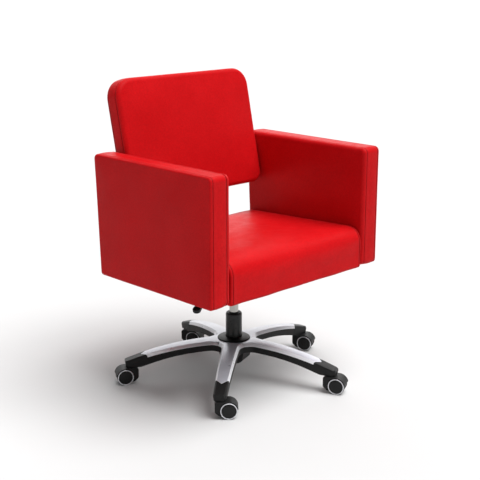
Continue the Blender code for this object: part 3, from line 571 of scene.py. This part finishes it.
def cushion_mesh(name, points, faces):
    """The mesh of a cushion, with its faces turned outward and its seam distances and lengths."""
    mesh = bpy.data.meshes.new(name)
    mesh.from_pydata([tuple(v) for v in points.verts], [], faces)
    bm = bmesh.new()
    bm.from_mesh(mesh)
    bmesh.ops.recalc_face_normals(bm, faces=bm.faces)
    bm.to_mesh(mesh)
    bm.free()
    for label, values in (("seam_distance", points.distance), ("seam_run", points.run)):
        values = np.array(values, np.float32)
        mesh.attributes.new(label, "FLOAT", "POINT").data.foreach_set("value", values)
    mesh.shade_smooth()
    return mesh


def cushion(name, corners, radii, thickness, rolls, seams, crown, to_space):
    """A closed upholstered box: two panels with rolled edges, seams behind them and a band between.

    rolls and seams are (first side, second side), and a seam is a depth from its own side. crown is
    how far the band stands out in its middle.
    """
    near, shares = panel_side(corners, radii, rolls[0], None)
    far, shares = panel_side(corners, radii, rolls[1], shares)
    near_rows = edge_profile(rolls[0], seams[0])
    far_rows = edge_profile(rolls[1], seams[1])
    points = CushionPoints(to_space)
    points.put_grid(near, near_rows, 0.0)
    points.put_edge(near, near_rows)
    depths = (near_rows[-1][1], thickness - far_rows[-1][1])
    put_band(points, (near, far), rolls, depths, (seams[0], thickness - seams[1]), crown)
    points.put_edge(far, far_rows, thickness)
    points.put_grid(far, far_rows, thickness)
    faces = cushion_faces((near, far), len(points.verts))
    return linked(name, cushion_mesh(name, points, faces))


def coordinates(mesh):
    points = np.zeros(len(mesh.vertices) * 3, np.float32)
    mesh.vertices.foreach_get("co", points)
    return points.reshape(-1, 3).astype(float)


def seam_distances(mesh):
    values = np.zeros(len(mesh.vertices), np.float32)
    mesh.attributes["seam_distance"].data.foreach_get("value", values)
    return values


def tree_of(points):
    tree = KDTree(len(points))
    for index, point in enumerate(points):
        tree.insert(point, index)
    tree.balance()
    return tree


def evaluated_mesh(piece):
    depsgraph = bpy.context.evaluated_depsgraph_get()
    return bpy.data.meshes.new_from_object(piece.evaluated_get(depsgraph))


def voxel_copy(piece):
    """A copy of the piece with an even mesh that cloth can be simulated on."""
    rough = linked(piece.name + "_rough", piece.data.copy())
    remesh = rough.modifiers.new("voxels", "REMESH")
    remesh.mode = "VOXEL"
    remesh.voxel_size = VOXEL
    rough.data = evaluated_mesh(rough)
    rough.modifiers.clear()
    return rough


def hold_seams(rough, piece, free):
    """Pins the copy at the piece's seams, and elsewhere as far as it isn't free."""
    tree = tree_of(coordinates(piece.data))
    from_seam = seam_distances(piece.data)
    held = rough.vertex_groups.new(name="held")
    for index, point in enumerate(coordinates(rough.data)):
        near = from_seam[tree.find(point)[1]]
        slack = min(1.0, max(0.0, (near - PINNED) / EASING)) * free[index]
        held.add([index], 1.0 - slack, "REPLACE")


def add_cloth(rough):
    """Cloth under pressure from inside, without gravity."""
    cloth = rough.modifiers.new("cloth", "CLOTH")
    cloth.settings.use_pressure = True
    cloth.settings.uniform_pressure_force = SIM_PRESSURE
    cloth.settings.effector_weights.gravity = 0.0
    cloth.settings.vertex_group_mass = "held"
    cloth.settings.mass = CLOTH_MASS
    cloth.settings.tension_stiffness = CLOTH_STIFFNESS
    cloth.settings.compression_stiffness = CLOTH_STIFFNESS
    cloth.settings.bending_stiffness = CLOTH_BENDING
    cloth.point_cache.frame_start = 1
    cloth.point_cache.frame_end = SIM_FRAMES


def carried_over(moved, before, fine):
    """Movement of the fine points, from the nearest points that moved."""
    tree = tree_of(before)
    shift = np.zeros_like(fine)
    for index, point in enumerate(fine):
        found = tree.find_n(point, NEIGHBOURS)
        weights = np.array([1.0 / (distance + 0.001) for _, _, distance in found])
        nearest = moved[[k for _, k, _ in found]]
        shift[index] = (nearest * weights[:, None]).sum(axis=0) / weights.sum()
    return shift


def inflate(piece, rise, freedom):
    """Fills the piece by a pressure cloth simulation on a remeshed copy, and moves the piece with it.

    The seams are held. freedom(points) gives 0 to 1 for how free each point is, and no point moves
    further than rise.
    """
    scene = bpy.context.scene
    rough = voxel_copy(piece)
    before = coordinates(rough.data)
    hold_seams(rough, piece, freedom(before))
    add_cloth(rough)
    for number in range(1, SIM_FRAMES + 1):
        scene.frame_set(number)
    moved = coordinates(evaluated_mesh(rough)) - before
    scene.frame_set(1)
    longest = np.linalg.norm(moved, axis=1).max()
    moved *= min(1.0, rise / max(longest, 1e-9))
    fine = coordinates(piece.data)
    shift = carried_over(moved, before, fine)
    shift *= np.clip((seam_distances(piece.data) - 0.002) / 0.010, 0, 1)[:, None]
    piece.data.vertices.foreach_set("co", (fine + shift).astype(np.float32).ravel())
    piece.data.update()
    bpy.data.objects.remove(rough)


def ripple(piece, height, length, stretch=(1.0, 1.0, 1.0)):
    """Slight waviness of a hand-stretched cover, along the surface's normals."""
    scale = Vector(stretch) / length
    for vert, away in zip(piece.data.vertices, seam_distances(piece.data)):
        spot = Vector(a * b for a, b in zip(vert.co, scale))
        vert.co = vert.co + vert.normal * (noise.noise(spot) * height * min(1.0, away / 0.02))
    piece.data.update()


def upholster(piece, node, material):
    """Finishes a pad that stands for a CAD node."""
    piece.data.materials.append(material)
    subdivision = piece.modifiers.new("subdivision", "SUBSURF")
    subdivision.levels = 1
    subdivision.render_levels = 1
    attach(piece, "seat")
    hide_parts(node)


def ramp(values, low, high):
    """0 up to low and 1 from high, with a smooth rise between them."""
    share = np.clip((values - low) / (high - low), 0, 1)
    return share * share * (3 - 2 * share)


# ---- The soft pieces ---------------------------------------------------------------------------
def lift_bottom(piece, low, high):
    """Lifts the middle of the pad's bottom, so that the timber and the dust cloth show below it."""
    for vert in piece.data.vertices:
        x, y, z = vert.co
        inner = min(high.x - PAD_BOTTOM_INSET - abs(x), y - low.y - PAD_BOTTOM_INSET,
                    high.y - PAD_BOTTOM_INSET - y)
        if z < low.z + 0.001 and inner > 0:
            vert.co.z = low.z + PAD_BOTTOM_LIFT


def build_seat(vinyl):
    low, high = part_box("seat_cushion")
    front_top = high.z + SEAT_FULLNESS
    rear_top = front_top - SEAT_TOP_FALL
    corners = [(low.y, low.z), (high.y, low.z), (high.y, rear_top), (low.y, front_top)]
    radii = (LOWER_RADIUS, LOWER_RADIUS, SEAT_REAR_RADIUS, SEAT_FRONT_RADIUS)
    piece = cushion("seat_pad", corners, radii, high.x - low.x, SEAT_ROLLS, SEAT_SEAMS, 0.0,
                    lambda a, b, depth: (low.x + depth, a, b))

    def freedom(points):
        """Held beside the arms and at the bottom."""
        sides = ramp(high.x - np.abs(points[:, 0]), 0.004, 0.045)
        return sides * ramp(points[:, 2], low.z + 0.015, low.z + 0.06)

    inflate(piece, SEAT_RISE, freedom)
    ripple(piece, *SEAT_WAVE, (1.0, 0.7, 1.0))
    lift_bottom(piece, low, high)
    upholster(piece, "seat_cushion", vinyl)


def build_arm(name, vinyl):
    """An arm pad, which fills out except where it lies against the seat."""
    low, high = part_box(name)
    side = 1.0 if low.x > 0 else -1.0
    outer, inner = (high.x, low.x) if side > 0 else (low.x, high.x)
    corners = [(low.y, low.z), (high.y - ARM_REAR_LEAN, low.z), (high.y, high.z), (low.y, high.z)]
    radii = (LOWER_RADIUS, LOWER_RADIUS, ARM_CORNER, ARM_CORNER)
    piece = cushion(name.replace("arm", "arm_pad"), corners, radii, high.x - low.x, ARM_ROLLS, ARM_SEAMS,
                    BAND_CROWN, lambda a, b, depth: (outer - side * depth, a, b))

    def freedom(points):
        """Held on the inner side up to the seat's top, and at the bottom."""
        off_seat = ramp(np.abs(points[:, 0] - inner), 0.006, 0.02)
        above_seat = ramp(points[:, 2], low.z + 0.13, low.z + 0.17)
        return np.maximum(off_seat, above_seat) * ramp(points[:, 2], low.z + 0.002, low.z + 0.03)

    inflate(piece, ARM_RISE, freedom)
    ripple(piece, *ARM_WAVE)
    upholster(piece, name, vinyl)


def build_arms(vinyl):
    build_arm("arm_left", vinyl)
    build_arm("arm_right", vinyl)


def node_points(name):
    return coordinates(frame["nodes"][name].data)


def back_directions():
    """The back's directions from front to rear and upward, from the plywood board inside it."""
    board = node_points("backrest_board")
    spread = np.linalg.svd(board - board.mean(axis=0), full_matrices=False)[2]
    through = spread[2] * np.sign(spread[2][1])
    upward = np.cross((1.0, 0.0, 0.0), through)
    upward *= np.sign(upward[2])
    return through, upward


def build_back(vinyl):
    """The back pad, square to the board inside it."""
    through, upward = back_directions()
    pad = node_points("backrest_cushion")
    half = pad[:, 0].max() + BACK_FULLNESS
    front, rear = (pad @ through).min(), (pad @ through).max()
    bottom, top = (pad @ upward).min(), (pad @ upward).max() + BACK_FULLNESS
    corners = [(-half, bottom), (half, bottom), (half, top), (-half, top)]
    radii = (BACK_BOTTOM_RADIUS, BACK_BOTTOM_RADIUS, BACK_TOP_RADIUS, BACK_TOP_RADIUS)

    def to_space(a, b, depth):
        return Vector((a, 0.0, 0.0)) + Vector(upward) * b + Vector(through) * (front + depth)

    piece = cushion("back_pad", corners, radii, rear - front, BACK_ROLLS, BACK_SEAMS, BAND_CROWN, to_space)

    def freedom(points):
        """Fuller in front than at the rear."""
        from_front = points @ through - front
        return np.where(from_front < 0.02, 1.0, 0.6)

    inflate(piece, BACK_RISE, freedom)
    ripple(piece, *BACK_WAVE)
    upholster(piece, "backrest_cushion", vinyl)


# ---- Underside of the seat ---------------------------------------------------------------------
def grid_lines(bounds, counts):
    """Places of grid lines across three spans: before, over and after the cut-out."""
    spans = zip(bounds, bounds[1:], counts)
    return np.unique(np.round(np.concatenate([np.linspace(*span) for span in spans]), 6))


def sagging_cloth(x0, x1, y0, y1, hole, level):
    """The dust cloth's surface with its cut-out, sagging slightly between its stretched edges."""
    xs = grid_lines((x0, hole[0], hole[1], x1), (22, 24, 22))
    ys = grid_lines((y0, hole[2], hole[3], y1), (20, 20, 14))
    bm = bmesh.new()
    grid = {}
    for i, x in enumerate(xs):
        for j, y in enumerate(ys):
            to_edge = min(x - x0, x1 - x, y - y0, y1 - y)
            to_hole = max(hole[0] - x, x - hole[1], hole[2] - y, y - hole[3])
            slack = ramp(np.array(min(to_edge, to_hole)), 0.012, 0.06)
            wave = 0.5 + 0.5 * noise.noise(Vector((x * 22.0, y * 22.0, 3.0)))
            grid[i, j] = bm.verts.new((x, y, level - float(slack) * DUST_SAG * wave))
    for i in range(len(xs) - 1):
        for j in range(len(ys) - 1):
            x, y = (xs[i] + xs[i + 1]) / 2, (ys[j] + ys[j + 1]) / 2
            if hole[0] < x < hole[1] and hole[2] < y < hole[3]:
                continue
            bm.faces.new((grid[i, j], grid[i, j + 1], grid[i + 1, j + 1], grid[i + 1, j]))
    bmesh.ops.delete(bm, geom=[v for v in bm.verts if not v.link_faces], context="VERTS")
    return bm


def build_dust_cloth(cloth_material, steel):
    low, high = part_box("seat_frame")
    plate_low, plate_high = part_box("seat_plate")
    x0, x1 = low.x + DUST_MARGIN, high.x - DUST_MARGIN
    y0, y1 = low.y + DUST_MARGIN, high.y - DUST_MARGIN
    hole = (plate_low.x - DUST_GAP_X, plate_high.x + DUST_GAP_X,
            plate_low.y - DUST_GAP_Y, plate_high.y + DUST_GAP_Y)
    level = low.z - DUST_DROP
    cloth = linked("dust_cloth", mesh_of(sagging_cloth(x0, x1, y0, y1, hole, level), "dust_cloth"))
    cloth.data.materials.append(cloth_material)
    cloth.data.shade_smooth()
    thick = cloth.modifiers.new("thickness", "SOLIDIFY")
    thick.thickness = DUST_THICKNESS
    thick.offset = 0.0
    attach(cloth, "seat")
    edges = (x0 + STAPLE_INSET, x1 - STAPLE_INSET, y0 + STAPLE_INSET, y1 - STAPLE_INSET)
    build_staples(edges, level - STAPLE_DROP, steel)


def staple_places(x0, x1, y0, y1):
    """(x, y, quarter turns) of each staple along the four edges."""
    places = []
    for x in np.arange(x0 + 0.02, x1 - 0.01, STAPLE_PITCH):
        places += [(x, y0, 0.0), (x + 0.004, y1, 0.0)]
    for y in np.arange(y0 + 0.03, y1 - 0.02, STAPLE_PITCH):
        places += [(x0, y, 1.0), (x1, y + 0.004, 1.0)]
    return places


def add_staple(bm, x, y, level, along):
    """A flat wire along a direction, with its two ends bent up and sharpened."""
    beside = Vector((-along.y, along.x, 0.0)) * STAPLE_HALF_WIDTH
    rings = []
    for reach, height in STAPLE_WIRE:
        centre = Vector((x, y, level + height)) + along * reach
        across = along * (0.0004 if abs(reach) > 0.0048 else 0.0)
        up = Vector((0.0, 0.0, 0.0 if abs(reach) > 0.0051 else STAPLE_HALF_HEIGHT))
        inward = across * (1 if reach < 0 else -1) + up
        offsets = (beside - inward, beside + inward, -beside + inward, -beside - inward)
        rings.append([bm.verts.new(centre + offset) for offset in offsets])
    for a, b in zip(rings, rings[1:]):
        for k in range(4):
            n = (k + 1) % 4
            bm.faces.new((a[k], a[n], b[n], b[k]))
    bm.faces.new(rings[0])
    bm.faces.new(rings[-1])


def build_staples(edges, level, steel):
    """Wire staples along the cloth's edges, driven up into the frame slightly askew."""
    bm = bmesh.new()
    for index, (x, y, turn) in enumerate(staple_places(*edges)):
        angle = turn * math.pi / 2 + STAPLE_SKEW * math.sin(7.0 * index)
        add_staple(bm, x, y, level, Vector((math.cos(angle), math.sin(angle), 0.0)))
    bmesh.ops.recalc_face_normals(bm, faces=bm.faces)
    staples = linked("dust_cloth_staples", mesh_of(bm, "dust_cloth_staples"))
    staples.data.materials.append(steel)
    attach(staples, "seat")


# ---- Castor wheels -----------------------------------------------------------------------------
def lathe(name, profile, segments, centre, axis, material):
    """Turns (radius, along) points about an axis through centre; the profile starts and ends on it
    or, for a ring, closes on itself."""
    axis = Vector(axis).normalized()
    first = axis.orthogonal().normalized()
    second = axis.cross(first)
    on_axis = profile[0][0] == 0.0
    bm = bmesh.new()
    rings = []
    for radius, along in profile:
        middle = Vector(centre) + axis * along
        if radius == 0.0:
            rings.append([bm.verts.new(middle)] * segments)
            continue
        angles = [math.tau * k / segments for k in range(segments)]
        spokes = [(first * math.cos(a) + second * math.sin(a)) * radius for a in angles]
        rings.append([bm.verts.new(middle + spoke) for spoke in spokes])
    pairs = list(zip(rings, rings[1:]))
    if not on_axis:
        pairs.append((rings[-1], rings[0]))
    for a, b in pairs:
        for k in range(segments):
            n = (k + 1) % segments
            bm.faces.new(list(dict.fromkeys((a[k], a[n], b[n], b[k]))))
    bmesh.ops.recalc_face_normals(bm, faces=bm.faces)
    mesh = mesh_of(bm, name)
    mesh.shade_smooth()
    mesh.set_sharp_from_angle(angle=math.radians(CREASE_ANGLE))
    mesh.materials.append(material)
    return linked(name, mesh)


def wheel_parts():
    """(radius, along) profiles of a wheel: tread and body, the ring round its face, the domed cap."""
    r = WHEEL_RADIUS
    body = [(0.0, 0.0175), (0.0033, 0.0175), (0.0033, 0.0072), (0.0060, 0.0069), (0.0200, 0.0069),
            (0.0215, 0.0078), (0.0232, 0.0076), (r - 0.0006, 0.0084), (r, 0.0098), (r, 0.0185),
            (r - 0.0004, 0.0200), (r - 0.0013, 0.0210), (0.0212, 0.0212), (0.0208, 0.0206), (0.0, 0.0206)]
    ring = [(0.0216, 0.0209), (0.0240, 0.0209), (0.0243, 0.0213), (0.0242, 0.0222), (0.0237, 0.0229),
            (0.0230, 0.0232), (0.0221, 0.0229), (0.0217, 0.0223)]
    cap = [(0.0, 0.0207), (0.0207, 0.0207), (0.0208, 0.0222), (0.0202, 0.0228), (0.0185, 0.0233),
           (0.0150, 0.0240), (0.0100, 0.0245), (0.0055, 0.0247), (0.0, 0.0248)]
    return body, ring, cap


def build_wheels(tread, trim, cap_plastic):
    body_profile, ring_profile, cap_profile = wheel_parts()
    for joint in frame["joints"]:
        if not joint["name"].startswith("wheel_spin_"):
            continue
        label = joint["name"].removeprefix("wheel_spin_")
        facing = 1.0 if label.endswith("a") else -1.0
        axis = Vector(joint["axis"]) * facing
        centre = joint["pos_m"]
        wheel = lathe("wheel_" + label, body_profile, WHEEL_SEGMENTS, centre, axis, tread)
        ring = lathe("wheel_ring_" + label, ring_profile, WHEEL_SEGMENTS, centre, axis, trim)
        cap = lathe("wheel_cap_" + label, cap_profile, CAP_SEGMENTS, centre, axis, cap_plastic)
        for piece in (wheel, ring, cap):
            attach(piece, joint["child"])
        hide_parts("castor_wheel_" + label)


# ---- Carried-over CAD nodes --------------------------------------------------------------------
def finish_node(name, material, edge):
    """Gives a CAD node its material, smooth shading and slightly rounded edges."""
    node = frame["nodes"][name]
    for attribute in ("custom_normal", "sharp_face", "sharp_edge"):
        if attribute in node.data.attributes:
            node.data.attributes.remove(node.data.attributes[attribute])
    node.data.materials.clear()
    node.data.materials.append(material)
    weld = node.modifiers.new("weld", "WELD")
    weld.merge_threshold = WELD_DISTANCE
    if edge:
        rounding = node.modifiers.new("rounded edges", "BEVEL")
        rounding.width = edge
        rounding.segments = 2
        rounding.limit_method = "ANGLE"
        rounding.angle_limit = math.radians(EDGE_ANGLE)
        rounding.harden_normals = True
    node.modifiers.new("weighted normals", "WEIGHTED_NORMAL")


def finish_nodes(materials):
    shown = [name for name, node in frame["nodes"].items() if not node.hide_render]
    for entry in frame["record"]["subparts"]:
        if entry["node"] in shown:
            kind = "_".join(entry["node"].split("_")[:2])
            edge = EDGE_ROUNDING.get(kind, OTHER_ROUNDING)
            finish_node(entry["node"], materials[entry["material_slot"]], edge)


# ---- Stage, light and camera -------------------------------------------------------------------
def build_stage():
    signs = ((-1, -1), (1, -1), (1, 1), (-1, 1))
    mesh = bpy.data.meshes.new("floor")
    mesh.from_pydata([(x * FLOOR_HALF, y * FLOOR_HALF, 0) for x, y in signs], [], [(0, 1, 2, 3)])
    material, tree, shader = new_material("pale_floor", Roughness=0.9, Specular_IOR_Level=0.1)
    tone = mixed(tree, cloud(tree, 3.0, 2.0), grey(FLOOR_DARK), grey(FLOOR_PALE))
    tree.links.new(tone, shader.inputs["Base Color"])
    mesh.materials.append(material)
    floor = linked("floor", mesh)


def add_sun(name, strength, angle, azimuth, elevation):
    """A soft distant light; azimuth 0 shines from -Y and 90 from +X."""
    lamp = bpy.data.lights.new(name, "SUN")
    lamp.energy = strength
    lamp.angle = math.radians(angle)
    sun = linked(name, lamp)
    a, e = math.radians(azimuth), math.radians(elevation)
    source = Vector((math.sin(a) * math.cos(e), -math.cos(a) * math.cos(e), math.sin(e)))
    sun.rotation_euler = source.to_track_quat("Z", "Y").to_euler()


def build_light():
    world = bpy.data.worlds.new("studio")
    world.use_nodes = True
    tree = world.node_tree
    background = tree.nodes["Background"]
    background.inputs["Color"].default_value = grey(1.0)
    direction = add(tree, "TexCoord").outputs["Generated"]
    facing = add(tree, "VectorMath", {0: direction, 1: GLOW_DIRECTION}, operation="DOT_PRODUCT")
    strength = ranged(tree, facing.outputs["Value"], 0.6, 0.97, WORLD_STRENGTH, GLOW_STRENGTH)
    tree.links.new(strength, background.inputs["Strength"])
    bpy.context.scene.world = world
    add_sun("key", *KEY_SUN)
    add_sun("fill", *FILL_SUN)


def build_camera():
    data = bpy.data.cameras.new("camera")
    data.sensor_width = 36.0
    data.lens = CAMERA_LENS
    data.clip_end = 300.0
    camera = linked("camera", data)
    camera.location = CAMERA_PLACE
    camera.rotation_euler = Vector(CAMERA_FACING).to_track_quat("-Z", "Y").to_euler()
    bpy.context.scene.camera = camera


# ---- The scene ---------------------------------------------------------------------------------
def build_scene():
    vinyl = vinyl_material()
    silver = silver_material()
    nylon = nylon_material("black_nylon", 0.008, 0.44)
    tread = nylon_material("castor_tread", 0.008, 0.5)
    cap = nylon_material("castor_cap", 0.010, 0.40)
    steel = zinc_material()
    build_seat(vinyl)
    build_arms(vinyl)
    build_back(vinyl)
    build_dust_cloth(dust_cloth_material(), steel)
    build_wheels(tread, silver, cap)
    finish_nodes({"silver_cover": silver, "black_nylon": nylon, "black_steel": black_steel_material(),
                  "chromed_steel": chrome_material(), "zinc_steel": steel, "hardwood": hardwood_material(),
                  "plywood": plywood_material(), "castor_wheel": nylon})
    build_stage()
    build_light()
    build_camera()
    bpy.context.scene.view_settings.view_transform = "Standard"


build_scene()
